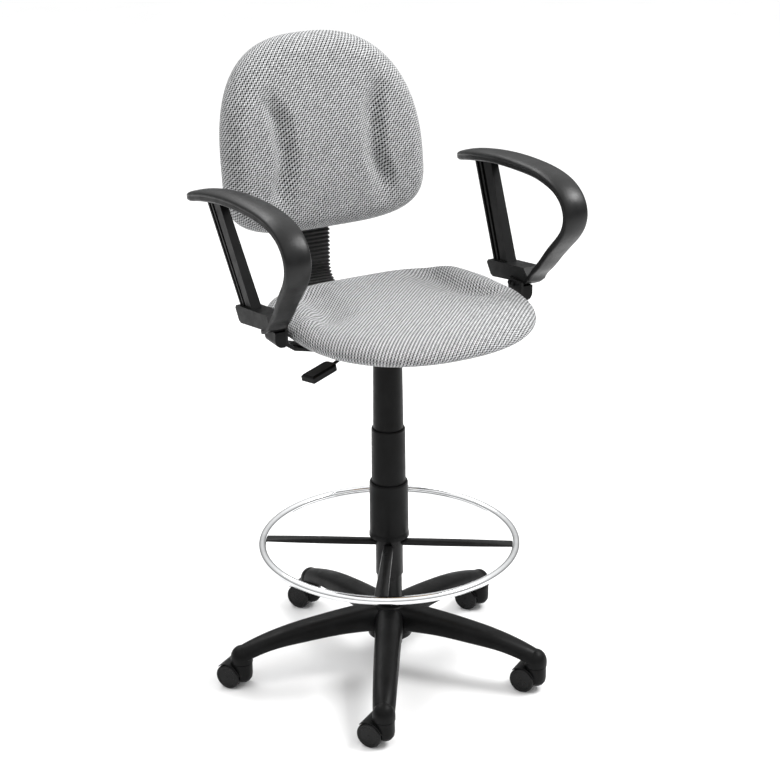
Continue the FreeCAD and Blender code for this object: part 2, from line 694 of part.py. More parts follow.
def back_half_width(z, inset=0.0):
    if z > BACK_WIDEST_Z:
        height, power = BACK_TOP_Z - inset - BACK_WIDEST_Z, BACK_TOP_POWER
    else:
        height, power = BACK_WIDEST_Z - BACK_BOTTOM_Z - inset, BACK_BOTTOM_POWER
    share = min(abs(z - BACK_WIDEST_Z) / height, 1.0)
    return (BACK_HALF_WIDTH - inset) * (1 - share ** power) ** (1 / power)


def back_outline_prism(inset):
    """The back's outline, pulled in by inset, as a prism along Y."""
    points = []
    for i in range(40):
        t = 2 * math.pi * i / 40
        up = math.sin(t) > 0
        height = (BACK_TOP_Z - BACK_WIDEST_Z if up else BACK_WIDEST_Z - BACK_BOTTOM_Z) - inset
        power = BACK_TOP_POWER if up else BACK_BOTTOM_POWER
        x = (BACK_HALF_WIDTH - inset) * signed_power(math.cos(t), 2 / power)
        z = BACK_WIDEST_Z + height * signed_power(math.sin(t), 2 / power)
        points.append(Vector(x, 100, z))
    return Part.Face(closed_spline(points)).extrude(Vector(0, 400, 0))


def back_ribbon(front, rear):
    """A wide sheet that follows the lean of the back, between two offsets from the middle of the thickness."""
    heights = [BACK_BOTTOM_Z - 20 + i * (BACK_TOP_Z - BACK_BOTTOM_Z + 40) / 8 for i in range(9)]
    near = [Vector(-250, back_middle_y(z) + front, z) for z in heights]
    far = [Vector(-250, back_middle_y(z) + rear, z) for z in heights]
    edges = [open_spline(near), Part.makeLine(near[-1], far[-1]), open_spline(far), Part.makeLine(far[0], near[0])]
    return Part.Face(Part.Wire(Part.__sortEdges__(edges))).extrude(Vector(500, 0, 0))


def back_section(z, half_width, half_thick):
    points = []
    for i in range(28):
        t = 2 * math.pi * i / 28
        x = half_width * signed_power(math.cos(t), 2 / 2.6)
        y = back_middle_y(z) + half_thick * signed_power(math.sin(t), 2 / 2.6)
        points.append(Vector(x, y, z))
    return closed_spline(points)


def back_cushion():
    """Padded back: a leaning, rounded slab with a recess behind for the board."""
    half_thick = BACK_THICK / 2
    sections = []
    for share in (-0.985, -0.93, -0.8, -0.55, -0.2, 0.2, 0.5, 0.72, 0.87, 0.95, 0.985):
        height = BACK_TOP_Z - BACK_WIDEST_Z if share > 0 else BACK_WIDEST_Z - BACK_BOTTOM_Z
        z = BACK_WIDEST_Z + share * height
        edge = min((BACK_TOP_Z - z), (z - BACK_BOTTOM_Z)) / half_thick
        roundness = math.sqrt(1 - (1 - min(edge, 1.0)) ** 2)
        sections.append(back_section(z, back_half_width(z), half_thick * roundness))
    recess = back_ribbon(BOARD_FACES[0], 90).common(back_outline_prism(13.5))
    return loft(sections).cut(recess)


def back_board():
    return back_ribbon(*BOARD_FACES).common(back_outline_prism(14))


def cover_section(z, shrink):
    """Section of the rear cover at a height: flat towards the board, crowned behind."""
    half_width = back_half_width(z, 16) - shrink
    front = back_middle_y(z) + BOARD_FACES[1] + 0.3 - shrink
    share = (z - BACK_BOTTOM_Z) / (BACK_TOP_Z - BACK_BOTTOM_Z)
    depth = 10 + 50 * (1 - share ** 2)
    points = [Vector(-half_width, front, z), Vector(half_width, front, z)]
    for i in range(1, 16):
        t = math.pi * i / 16
        x = half_width * signed_power(math.cos(t), 0.6)
        points.append(Vector(x, front + depth * math.sin(t) ** 0.6, z))
    return Part.makePolygon(points + points[:1])


def back_cover():
    """Moulded shell behind the board, open in front, with a mouth below for the bar and a hole for the knob."""
    bottom = BACK_BOTTOM_Z + 17
    top = BACK_TOP_Z - 18
    wall = 3.0
    steps = 14
    shell = loft([cover_section(bottom + (top - bottom) * i / steps, 0) for i in range(steps + 1)], True)
    low = bottom + wall
    high = top - wall
    cavity = loft([cover_section(low + (high - low) * i / steps, wall) for i in range(steps + 1)], True)
    mouth = box((-30, 30), (BAR_Y - 9, BAR_Y + 9), (bottom - 10, bottom + 10))
    knob_hole = Part.makeCylinder(6, 60, Vector(0, 290, BACK_KNOB_Z), Vector(0, 1, 0))
    return shell.cut(cavity).cut(mouth).cut(knob_hole)


def back_carrier():
    """Steel block, screwed to the board, that slides on the upright of the bar."""
    block = box((-30, 30), (250, BAR_Y + 8), CARRIER_Z)
    flange = box((-48, 48), (250, 281), CARRIER_Z)
    body = block.fuse(flange).cut(back_ribbon(-100, BOARD_FACES[1]))
    gap = 0.25
    slot = box((-BAR_HALF_WIDTH - gap, BAR_HALF_WIDTH + gap), (BAR_Y - 3 - gap, BAR_Y + 3 + gap), (880, 1000))
    stud_hole = Part.makeCylinder(4 + RUNNING_GAP, 40, Vector(0, BAR_Y, BACK_KNOB_Z), Vector(0, 1, 0))
    return body.cut(slot).cut(stud_hole).removeSplitter()


def back_knob():
    screw = hand_screw(23, 19, 18)
    screw = tipped_to_y(screw)
    return moved(screw, y=BAR_Y + BAR_THICK / 2 + 0.1, z=BACK_KNOB_Z)


def screw_along(start, direction, length, shank_r=3.0, head_r=6.0, head=3.5):
    """A pan-head screw: its head stands at start, and its shank runs along direction."""
    shank = Part.makeCylinder(shank_r, length, start, direction)
    return shank.fuse(Part.makeCylinder(head_r, head, start - direction * head, direction))


def back_screws():
    screws = []
    for x in (-40, 40):
        for z in (CARRIER_Z[0] + 12, CARRIER_Z[1] - 12):
            screws.append(screw_along(Vector(x, 281, z), Vector(0, -1, 0), 16))
    return screws


# ---------------------------------------------------------------- arms

# Path of the strap, from the rear tip of the pad, over the front and down to the bottom bar:
# y, z, middle x, half width, height of the crown
ARM_PATH = [
    (229, 951, 288.5, 2.5, 2.0),
    (219, 953, 288.0, 9.5, 6.0),
    (196, 958, 286.0, 16.0, 9.5),
    (160, 967, 283.0, 20.5, 11.5),
    (100, 979, 280.5, 23.5, 12.5),
    (25, 989, 279.5, 25.0, 12.5),
    (-50, 993, 279.0, 25.5, 12.0),
    (-115, 991, 278.5, 25.5, 11.0),
    (-163, 980, 278.0, 25.5, 9.5),
    (-192, 959, 278.0, 25.0, 8.5),
    (-202, 933, 277.5, 24.5, 7.5),
    (-195, 906, 276.5, 23.5, 6.5),
    (-174, 879, 274.5, 22.5, 5.5),
    (-144, 846, 271.0, 21.0, 4.5),
    (-114, 812, 268.0, 19.5, 4.0),
    (-94, 788, 266.5, 18.8, 3.5),
    (-78, 775, 266.0, 18.5, 3.0),
    (-58, 768, 265.5, 18.0, 2.5),
]
ARM_CAP_GAP = 0.15


def arm_normals():
    """For each point of the path, the direction out of the loop, square to the strap."""
    normals = []
    for i in range(len(ARM_PATH)):
        y0, z0 = ARM_PATH[max(i - 1, 0)][:2]
        y1, z1 = ARM_PATH[min(i + 1, len(ARM_PATH) - 1)][:2]
        length = math.hypot(y1 - y0, z1 - z0)
        normals.append(Vector(0, (z1 - z0) / length, -(y1 - y0) / length))
    return normals


def arm_core_section(point, normal):
    """Flat strap with rounded edges on the inside of the loop."""
    y, z, x, half_width, _ = point
    outside = Vector(x, y, z)
    inside = outside - normal * ARM_CORE_THICK
    across = Vector(1, 0, 0)
    edge = min(3.0, half_width * 0.4)
    a = outside - across * half_width
    b = outside + across * half_width
    c = b - normal * (ARM_CORE_THICK - edge)
    d = inside + across * (half_width - edge)
    e = inside - across * (half_width - edge)
    f = a - normal * (ARM_CORE_THICK - edge)
    return Part.makePolygon([a, b, c, d, e, f, a])


def arm_cap_section(point, normal):
    """Crowned skin on the outside of the loop."""
    y, z, x, half_width, crown = point
    foot = Vector(x, y, z) + normal * ARM_CAP_GAP
    across = Vector(1, 0, 0)
    curve = []
    for i in range(9):
        t = math.pi * i / 8
        curve.append(foot + across * (half_width * math.cos(t)) + normal * (crown * math.sin(t) ** 0.75))
    flat = Part.makeLine(curve[-1], curve[0])
    return Part.Wire([open_spline(curve), flat])


def arm_cap():
    normals = arm_normals()
    return loft([arm_cap_section(p, n) for p, n in zip(ARM_PATH[:-2], normals)])


def arm_strut():
    """Flat rear strut, wider at the top, with two grooves along each side."""
    # height, front y, rear y, inner x, outer x
    stations = [(778, -17, 35, 255.0, 276.0), (977, 91, 153, 276.0, 291.0)]

    def section(station, front_share=0.0, rear_share=1.0, out=0.0):
        z, front, rear, x0, x1 = station
        y0 = front + (rear - front) * front_share
        y1 = front + (rear - front) * rear_share
        corners = [(x0 - out, y0), (x1 + out, y0), (x1 + out, y1), (x0 - out, y1)]
        points = [Vector(x, y, z) for x, y in corners]
        return Part.makePolygon(points + points[:1])

    strut = loft([section(s) for s in stations], True)
    core = loft([section(s, -0.1, 1.1, -3.5) for s in stations], True)
    for low, high in ((0.48, 0.64), (0.74, 0.9)):
        groove = loft([section(s, low, high, 1.0) for s in stations], True).cut(core)
        strut = strut.cut(groove)
    return strut


def arm_bottom_bar():
    """Short bar between the strut and the foot of the strap, and a small round-cornered foot under it."""
    side = [(52, 784), (48, 790), (-78, 808), (-92, 795), (-80, 782), (-60, 776), (30, 761), (38, 764)]
    points = [Vector(ARM_BAR_X[0], y, z) for y, z in side]
    bar = Part.Face(Part.makePolygon(points + points[:1])).extrude(Vector(ARM_BAR_X[1] - ARM_BAR_X[0], 0, 0))
    foot_width = 20.0
    foot_x = (ARM_BAR_X[0], ARM_BAR_X[0] + foot_width)
    foot = box(foot_x, (-80, -36), (743, 772))
    outer_corner = [e for e in foot.Edges if e.BoundBox.XMin > foot_x[1] - 1 and e.BoundBox.ZMax < 744]
    return bar.fuse(foot.makeFillet(14, outer_corner))


def arm_frame(cap):
    normals = arm_normals()
    strap = loft([arm_core_section(p, n) for p, n in zip(ARM_PATH, normals)])
    pad_top = [Vector(200, y, z) for y, z, _, _, _ in ARM_PATH[:8]]
    roof = pad_top + [Vector(200, -170, 1100), Vector(200, 240, 1100)]
    roof = Part.Face(Part.makePolygon(roof + roof[:1])).extrude(Vector(140, 0, 0))
    strut = arm_strut().cut(roof)
    body = fused([strap, strut, arm_bottom_bar()]).cut(cap)
    # the cut shaves a hair-thin sliver off under the edge of the skin: only the frame itself is kept
    return max(body.Solids, key=lambda solid: solid.Volume)


def arm_bracket():
    """Bent steel strap from under the seat board up to the inside of the arm."""
    t = BRACKET_THICK
    x_out = ARM_BAR_X[0]
    top = 780.0
    under = [(107, 718), (165, 718), (230, 733), (x_out, 745), (x_out, top)]
    over = [(x_out - t, top), (x_out - t, 750), (226, 738), (164, 723), (107, 723)]
    points = [Vector(x, BRACKET_Y[0], z) for x, z in under + over]
    return Part.Face(Part.makePolygon(points + points[:1])).extrude(Vector(0, BRACKET_Y[1] - BRACKET_Y[0], 0))


def arm_screws():
    """For one arm: two screws into the bar and two up into the seat board."""
    screws = []
    middle = (BRACKET_Y[0] + BRACKET_Y[1]) / 2
    for y in (BRACKET_Y[1] - 6, BRACKET_Y[1] - 18):
        screws.append(screw_along(Vector(ARM_BAR_X[0] - BRACKET_THICK, y, 770), Vector(1, 0, 0), 20, 2.5, 4.5, 2.5))
    for x in (118, 146):
        screws.append(screw_along(Vector(x, middle, 718), Vector(0, 0, 1), 14))
    return screws


def seat_screws():
    screws = []
    for x in (-85, 85):
        for y in (-95, 40):
            screws.append(screw_along(Vector(x, y, PLATE_Z[0]), Vector(0, 0, 1), 13))
    return screws


def drilled(shape, screws):
    """Cuts each screw's shank and head out of a shape."""
    for screw in screws:
        shape = shape.cut(screw)
    return shape


# ---------------------------------------------------------------- output

def save_base():
    save("five_star_base", five_star_base())
    save("caster_stems", caster_stems())
    save_casters()


def save_column():
    save("gas_lift_tube", gas_lift_tube())
    save("guide_bushing", guide_bushing())
    save("thrust_bearing", thrust_bearing())
    save("piston_rod", piston_rod())
    save("retaining_clip", retaining_clip())
    save("gas_lift_cylinder", gas_lift_cylinder())
    save("release_pin", release_pin())
    save("cover_lower", cover_lower())
    save("cover_middle", cover_middle())
    save("cover_top", cover_top())


def save_foot_ring():
    ring = foot_ring()
    save("foot_ring", ring)
    save("foot_ring_spokes", foot_ring_spokes(ring, collar_solid()))
    save("foot_ring_collar", foot_ring_collar())
    save("foot_ring_bush", foot_ring_bush())
    save("foot_ring_knob", foot_ring_knob())


def save_seat():
    arm_side = arm_screws()
    all_arm_screws = arm_side + [mirrored(screw) for screw in arm_side]
    seat_side = seat_screws()
    board = drilled(seat_board(), all_arm_screws + seat_side)
    save("seat_board", board)
    save("seat_cushion", seat_cushion())
    save("seat_screws", Part.makeCompound(seat_side))
    save("arm_screws", Part.makeCompound(all_arm_screws))
    save("seat_mechanism", drilled(seat_mechanism(), seat_side))
    save("lever_pivot_pin", lever_pivot_pin())
    lever = lever_rod()
    save("lever_rod", lever)
    save("lever_paddle", lever_paddle(lever))
    save("depth_knob", depth_knob())
    cap = arm_cap()
    frame = drilled(arm_frame(cap), arm_side)
    bracket = drilled(arm_bracket(), arm_side)
    for name, shape in (("arm_cap", cap), ("arm_frame", frame), ("arm_bracket", bracket)):
        save("left_" + name, shape)
        save("right_" + name, mirrored(shape))


def save_back():
    screws = back_screws()
    save("back_bar", back_bar())
    save("back_bellows", back_bellows())
    save("back_board", drilled(back_board(), screws))
    save("back_cushion", back_cushion())
    save("back_cover", back_cover())
    save("back_carrier", drilled(back_carrier(), screws))
    save("back_screws", Part.makeCompound(screws))
    save("back_knob", back_knob())


os.makedirs("parts", exist_ok=True)
save_base()
save_column()
save_foot_ring()
save_seat()
save_back()
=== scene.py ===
import json
import math

import bpy
from mathutils import Matrix, Vector


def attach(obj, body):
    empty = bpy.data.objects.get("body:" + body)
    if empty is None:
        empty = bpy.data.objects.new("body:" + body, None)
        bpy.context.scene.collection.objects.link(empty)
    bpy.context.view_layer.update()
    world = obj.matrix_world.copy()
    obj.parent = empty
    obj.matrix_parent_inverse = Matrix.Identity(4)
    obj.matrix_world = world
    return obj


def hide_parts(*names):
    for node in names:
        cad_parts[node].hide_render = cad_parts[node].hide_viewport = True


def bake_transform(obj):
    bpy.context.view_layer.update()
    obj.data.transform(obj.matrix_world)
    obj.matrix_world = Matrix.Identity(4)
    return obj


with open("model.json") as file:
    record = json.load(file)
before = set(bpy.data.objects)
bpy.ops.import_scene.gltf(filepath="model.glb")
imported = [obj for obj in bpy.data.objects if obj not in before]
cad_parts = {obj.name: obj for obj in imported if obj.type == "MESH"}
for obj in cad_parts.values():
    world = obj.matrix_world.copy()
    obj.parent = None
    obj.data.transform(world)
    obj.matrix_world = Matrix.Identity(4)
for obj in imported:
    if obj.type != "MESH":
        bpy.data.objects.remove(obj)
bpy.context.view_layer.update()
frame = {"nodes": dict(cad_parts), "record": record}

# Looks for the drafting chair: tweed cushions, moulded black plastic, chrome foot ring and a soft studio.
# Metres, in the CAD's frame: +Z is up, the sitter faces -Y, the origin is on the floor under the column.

# ---------------------------------------------------------------- driving dimensions

# Seat: the CAD's outline, with a rounder shoulder
SEAT_HALF_WIDTH = 0.231
SEAT_FRONT_Y = -0.292
SEAT_REAR_Y = 0.140
SEAT_UNDER_Z = 0.7245         # just above the mechanism's plate
SEAT_CROWN = 0.002            # how much higher the middle of the top is
UNDER_SCALES = (0.25, 0.5, 0.75, 0.9)   # rings across the flat underside
TOP_RINGS = 26                # rings across the top
SEAT_WAIST_Z = 0.758
SEAT_TOP_Z = 0.779
SEAT_TUCK = 0.118
SEAT_SHOULDER = 0.042
SCOOP_DEPTH = 0.018
RIDGE_HEIGHT = 0.004
FRONT_ROLL = 0.045            # how much wider the rounded edge is at the front
FRONT_DROP = 0.010            # how much lower the widest line is at the front

# Back, as in the CAD
BACK_HALF_WIDTH = 0.2105
BACK_BOTTOM_Z = 0.844
BACK_WIDEST_Z = 0.961
BACK_TOP_Z = 1.207
BACK_HALF_THICK = 0.0375
BACK_TOP_POWER = 2.6
BACK_BOTTOM_POWER = 3.5
BACK_LEAN = ((0.870, 0.242), (1.030, 0.259), (1.200, 0.320))
BACK_WRAP = 0.0056            # how far the sides of the front face come forward
DENT_DEPTH = 0.021
BACK_FACE_RINGS = 30          # rings across the front face
BACK_REAR_SHARE = 0.74        # how far back the skin wraps, as a share of half the thickness
BACK_RECESS_INSET = 0.017     # the rear recess for the board, in from the outline
BACK_RECESS_Y = 0.0155        # its floor, behind the middle of the thickness

# Bellows, as in the CAD
BAR_Y = 0.311
BAR_Z = 0.698
BEND_R = 0.055
BELLOWS_START_Y = 0.172
BELLOWS_TOP_Z = 0.853
BELLOWS_PITCH = 0.0082
BELLOWS_RIDGE = (0.038, 0.015)
BELLOWS_GROOVE = (0.0345, 0.0115)
BELLOWS_SIDES = 40            # points round the sleeve
STEPS_PER_FOLD = 8

# Studio: strength of the air light at the horizon and overhead, half the floor's width, and the area
# lights as place, target, size and energy
HORIZON_LIGHT = 0.10
OVERHEAD_LIGHT = 1.42
OVERHEAD_FROM = 0.8           # the air light is at its full strength above this height of its direction
FLOOR_HALF = 14.0
LIGHTS = {
    "key": ((1.9, -1.0, 3.3), (0, 0, 0.8), (1.3, 1.3), 105),
    "fill": ((-2.4, -2.6, 2.0), (0, 0, 0.7), (2.0, 2.0), 3),
    "rim": ((-0.5, 2.2, 3.2), (0, 0, 0.8), (2.2, 1.4), 40),
}

WEAVE_CELL = 0.0029           # one light or dark cell of the tweed
SEGMENTS = 128                # round a cushion

# Camera
CAMERA_AZIMUTH = -28.5
CAMERA_DISTANCE = 3.401       # from the column, on the floor plan
CAMERA_HEIGHT = 1.937
CAMERA_PITCH = 21.67
CAMERA_ROLL = -0.51
CAMERA_YAW = -0.067
CAMERA_LENS = 89.8


# ---------------------------------------------------------------- small maths

def signed_power(value, power):
    return math.copysign(abs(value) ** power, value)


def smooth(x):
    """0 below 0, 1 above 1, and an S between."""
    x = min(max(x, 0.0), 1.0)
    return x * x * (3 - 2 * x)


def window(x, low, high, fade):
    """1 between low and high, fading to 0 outside them."""
    return smooth((x - low) / fade + 1) * smooth((high - x) / fade + 1)


def trough(offset, inner, outer):
    """A soft valley across a line. inner is its reach towards the middle, outer the other way."""
    reach = inner if offset < 0 else outer
    return math.cos(min(abs(offset) / reach, 1.0) * math.pi / 2) ** 2


def through_points(x, points):
    """Piecewise smooth curve through (x, y) points."""
    if x <= points[0][0]:
        return points[0][1]
    for (x0, y0), (x1, y1) in zip(points, points[1:]):
        if x <= x1:
            return y0 + (y1 - y0) * smooth((x - x0) / (x1 - x0))
    return points[-1][1]


# ---------------------------------------------------------------- node helpers

class Shader:
    """A new material with a Principled shader, and short ways to add nodes to it."""

    def __init__(self, name, **settings):
        self.material = bpy.data.materials.new(name)
        self.material.use_nodes = True
        self.tree = self.material.node_tree
        self.surface = self.tree.nodes["Principled BSDF"]
        for key, value in settings.items():
            self.surface.inputs[key.replace("_", " ")].default_value = value
        self.place = self.tree.nodes.new("ShaderNodeTexCoord").outputs["Object"]

    def link(self, value, socket):
        if isinstance(value, bpy.types.NodeSocket):
            self.tree.links.new(value, socket)
        else:
            socket.default_value = value

    def math(self, operation, a, b=0.0, clamp=False):
        node = self.tree.nodes.new("ShaderNodeMath")
        node.operation = operation
        node.use_clamp = clamp
        self.link(a, node.inputs[0])
        self.link(b, node.inputs[1])
        return node.outputs[0]

    def noise(self, scale, detail=4.0, roughness=0.55, where=None):
        node = self.tree.nodes.new("ShaderNodeTexNoise")
        node.inputs["Scale"].default_value = scale
        node.inputs["Detail"].default_value = detail
        node.inputs["Roughness"].default_value = roughness
        self.link(where or self.place, node.inputs["Vector"])
        return node.outputs["Fac"]

    def cells(self, scale):
        node = self.tree.nodes.new("ShaderNodeTexVoronoi")
        node.inputs["Scale"].default_value = scale
        self.link(self.place, node.inputs["Vector"])
        return node.outputs["Distance"]

    def between(self, value, low, high, out_low=0.0, out_high=1.0):
        node = self.tree.nodes.new("ShaderNodeMapRange")
        node.interpolation_type = "SMOOTHSTEP"
        self.link(value, node.inputs["Value"])
        node.inputs["From Min"].default_value = low
        node.inputs["From Max"].default_value = high
        node.inputs["To Min"].default_value = out_low
        node.inputs["To Max"].default_value = out_high
        return node.outputs["Result"]

    def mix(self, factor, a, b):
        node = self.tree.nodes.new("ShaderNodeMix")
        node.data_type = "RGBA"
        # sockets 6 and 7 are the two colours, output 2 is their mix
        self.link(factor, node.inputs["Factor"])
        self.link(a, node.inputs[6])
        self.link(b, node.inputs[7])
        return node.outputs[2]

    def stretched(self, x, y, z):
        node = self.tree.nodes.new("ShaderNodeMapping")
        node.inputs["Scale"].default_value = (x, y, z)
        self.link(self.place, node.inputs["Vector"])
        return node.outputs["Vector"]

    def bump(self, height, strength, distance):
        node = self.tree.nodes.new("ShaderNodeBump")
        node.inputs["Strength"].default_value = strength
        node.inputs["Distance"].default_value = distance
        self.link(height, node.inputs["Height"])
        self.tree.links.new(node.outputs["Normal"], self.surface.inputs["Normal"])

    def paint(self, socket, value):
        self.link(value, self.surface.inputs[socket])


# ---------------------------------------------------------------- materials

def grey(value, warmth=0.0):
    return (value * (1 + warmth), value, value * (1 - warmth), 1.0)


def moulded_plastic(name, dark, light, roughness, shine, grain=900.0):
    """Black nylon: fine moulded grain, faint cloudy tone, and rubbed patches that shine a little more."""
    s = Shader(name)
    cloud = s.noise(14, 3)
    rubbed = s.noise(35, 5, 0.65)
    s.paint("Base Color", s.mix(s.between(cloud, 0.35, 0.7), grey(dark), grey(light, -0.03)))
    s.paint("Roughness", s.between(rubbed, 0.3, 0.75, roughness - 0.07, roughness + 0.08))
    s.surface.inputs["Specular IOR Level"].default_value = shine
    grain_height = s.math("ADD", s.noise(grain, 2), s.math("MULTIPLY", s.cells(grain * 0.7), 0.5))
    s.bump(grain_height, 0.22, 0.0004)
    return s.material


def painted_steel(name):
    """Black powder coat: faint orange peel under a harder shine."""
    s = Shader(name, Coat_Weight=0.05, Coat_Roughness=0.18, Specular_IOR_Level=0.12)
    s.paint("Base Color", s.mix(s.between(s.noise(20), 0.35, 0.7), grey(0.005), grey(0.010)))
    s.paint("Roughness", s.between(s.noise(60, 5), 0.3, 0.7, 0.27, 0.4))
    s.bump(s.noise(520, 2), 0.12, 0.0004)
    return s.material


def chrome(name):
    """Bright plating: nearly clean, with faint handling haze."""
    s = Shader(name, Metallic=1.0)
    s.paint("Base Color", s.mix(s.between(s.noise(25), 0.3, 0.75), grey(0.74, -0.01), grey(0.84, -0.01)))
    s.paint("Roughness", s.between(s.noise(45, 6, 0.7), 0.35, 0.8, 0.04, 0.11))
    s.bump(s.noise(90, 2), 0.02, 0.0004)
    return s.material


def zinc_steel(name):
    """Plated screws and axles: drawn lines and a mottled shine."""
    s = Shader(name, Metallic=1.0)
    lines = s.noise(1.0, 3, 0.6, s.stretched(60, 60, 2600))
    s.paint("Base Color", s.mix(s.between(s.noise(160), 0.3, 0.7), grey(0.46, 0.01), grey(0.62, 0.0)))
    s.paint("Roughness", s.between(lines, 0.3, 0.7, 0.26, 0.42))
    s.bump(lines, 0.1, 0.0003)
    return s.material


def ribbed_rubber(name):
    s = Shader(name)
    s.paint("Base Color", s.mix(s.between(s.noise(30), 0.3, 0.7), grey(0.005), grey(0.010)))
    s.paint("Roughness", s.between(s.noise(80, 4), 0.3, 0.7, 0.38, 0.55))
    s.bump(s.noise(1200, 2), 0.15, 0.0003)
    return s.material


def plywood(name):
    s = Shader(name)
    layers = s.noise(1.0, 3, 0.6, s.stretched(14, 220, 220))
    s.paint("Base Color", s.mix(s.between(layers, 0.3, 0.7), (0.42, 0.27, 0.14, 1), (0.62, 0.44, 0.26, 1)))
    s.paint("Roughness", s.between(layers, 0.3, 0.7, 0.55, 0.75))
    s.bump(layers, 0.3, 0.0004)
    return s.material


def dust_cover(name):
    """Thin black non-woven cloth under the seat."""
    s = Shader(name)
    fibres = s.noise(1500, 6, 0.8)
    s.paint("Base Color", s.mix(fibres, grey(0.008), grey(0.035)))
    s.paint("Roughness", s.between(fibres, 0.3, 0.7, 0.85, 0.98))
    s.bump(fibres, 0.4, 0.0004)
    return s.material


def tweed(name):
    """Diagonal basket weave of pale and near-black yarns, laid along the cushions' cloth attribute."""
    s = Shader(name, Sheen_Weight=0.12, Sheen_Roughness=0.5, Specular_IOR_Level=0.2)
    attribute = s.tree.nodes.new("ShaderNodeAttribute")
    attribute.attribute_name = "cloth"
    parts = s.tree.nodes.new("ShaderNodeSeparateXYZ")
    s.link(attribute.outputs["Vector"], parts.inputs[0])
    across, along = parts.outputs[0], parts.outputs[1]
    turn = math.pi / WEAVE_CELL / math.sqrt(2)
    sway = s.math("MULTIPLY", s.math("SUBTRACT", s.noise(28, 2), 0.5), 0.7)
    first = s.math("ADD", s.math("MULTIPLY", s.math("ADD", across, along), turn), sway)
    second = s.math("ADD", s.math("MULTIPLY", s.math("SUBTRACT", along, across), turn), sway)
    warp = s.math("SINE", first)
    weft = s.math("SINE", second)
    checks = s.math("MULTIPLY", warp, weft)
    fluff = s.math("MULTIPLY", s.math("SUBTRACT", s.noise(1900, 3, 0.7), 0.5), 0.35)
    twill = s.math("MULTIPLY", weft, 0.7)
    yarns = s.math("ADD", s.math("ADD", checks, twill), fluff)
    light_yarn = s.between(yarns, -0.22, 0.2)
    tone = s.between(s.noise(420, 2), 0.3, 0.7)
    dark = s.mix(tone, grey(0.008), grey(0.02, -0.02))
    light = s.mix(s.between(s.noise(160, 3), 0.3, 0.7), grey(0.42, -0.01), grey(0.66, -0.01))
    s.paint("Base Color", s.mix(light_yarn, dark, light))
    s.paint("Roughness", s.between(fluff, -0.4, 0.4, 0.82, 0.95))
    crown = s.math("ADD", s.math("ABSOLUTE", checks), s.math("MULTIPLY", fluff, 0.4))
    s.bump(crown, 0.55, 0.0007)
    return s.material


def studio_floor(name):
    s = Shader(name)
    s.paint("Base Color", s.mix(s.between(s.noise(3), 0.3, 0.7), grey(0.86), grey(0.88)))
    s.paint("Roughness", s.between(s.noise(12), 0.3, 0.7, 0.7, 0.8))
    return s.material


# ---------------------------------------------------------------- mesh helpers

def mesh_object(name, vertices, faces, materials, smooth_faces=True):
    mesh = bpy.data.meshes.new(name)
    mesh.from_pydata(vertices, [], faces)
    for material in materials:
        mesh.materials.append(material)
    if smooth_faces:
        mesh.polygons.foreach_set("use_smooth", [True] * len(mesh.polygons))
    mesh.update()
    made = bpy.data.objects.new(name, mesh)
    bpy.context.scene.collection.objects.link(made)
    return made


def add_cloth_map(piece, cloth):
    """Stores where each point lies on the flat cloth, in metres, for the weave."""
    layer = piece.data.attributes.new("cloth", "FLOAT_VECTOR", "POINT")
    layer.data.foreach_set("vector", [c for u, v in cloth for c in (u, v, 0.0)])


def skin_of_rings(rings):
    """Faces of a closed skin: a first point, rings of SEGMENTS points, and a last point."""
    faces = []
    for i in range(SEGMENTS):
        faces.append((0, 1 + (i + 1) % SEGMENTS, 1 + i))
    for r in range(rings - 1):
        a = 1 + r * SEGMENTS
        b = a + SEGMENTS
        for i in range(SEGMENTS):
            j = (i + 1) % SEGMENTS
            faces.append((a + i, a + j, b + j, b + i))
    last = 1 + rings * SEGMENTS
    start = last - SEGMENTS
    for i in range(SEGMENTS):
        faces.append((start + i, start + (i + 1) % SEGMENTS, last))
    return faces


def subdivided(piece):
    modifier = piece.modifiers.new("finish", "SUBSURF")
    modifier.levels = 1
    modifier.render_levels = 1


# ---------------------------------------------------------------- seat cushion

def seat_outline(t, inset):
    centre_y = (SEAT_FRONT_Y + SEAT_REAR_Y) / 2
    half_depth = (SEAT_REAR_Y - SEAT_FRONT_Y) / 2 - inset
    power = 2.25 if math.sin(t) < 0 else 3.6
    x = (SEAT_HALF_WIDTH - inset) * signed_power(math.cos(t), 2 / power)
    y = centre_y + half_depth * signed_power(math.sin(t), 2 / power)
    return x, y


def seat_dip(x, y):
    """Two thigh scoops that run forward and outward, with a raised edge outside each."""
    scoop_x = through_points(y, ((-0.110, 0.176), (-0.059, 0.154), (-0.007, 0.138), (0.070, 0.134)))
    length = window(y, -0.060, 0.070, 0.060)
    offset = abs(x) - scoop_x
    valley = trough(offset, 0.075, 0.030) * length
    ridge = trough(offset - 0.045, 0.03, 0.03) * length
    return -SCOOP_DEPTH * valley + RIDGE_HEIGHT * ridge


def seat_front_share(t):
    """1 at the middle of the front edge, fading to 0 at the sides."""
    return max(0.0, -math.sin(t)) ** 1.5


def seat_shoulder(t):
    return SEAT_SHOULDER + FRONT_ROLL * seat_front_share(t)


def seat_side(t):
    """The edge's section at t, from the underside up: inset, height, and cloth left up to the flat top."""
    waist = SEAT_WAIST_Z - FRONT_DROP * seat_front_share(t)
    steps = 12
    section = []
    for i in range(2 * steps + 1):
        a = math.pi / 2 * (i - steps) / steps
        below = i < steps
        tuck = SEAT_TUCK if below else seat_shoulder(t)
        rise = waist - SEAT_UNDER_Z if below else SEAT_TOP_Z - waist
        section.append((tuck * (1 - math.cos(a)), waist + rise * math.sin(a)))
    left = 0.0
    side = [(*section[-1], left)]
    for (inset, z), (inset_above, z_above) in zip(section[-2::-1], section[::-1]):
        left += math.hypot(inset - inset_above, z - z_above)
        side.append((inset, z, left))
    return side[::-1]


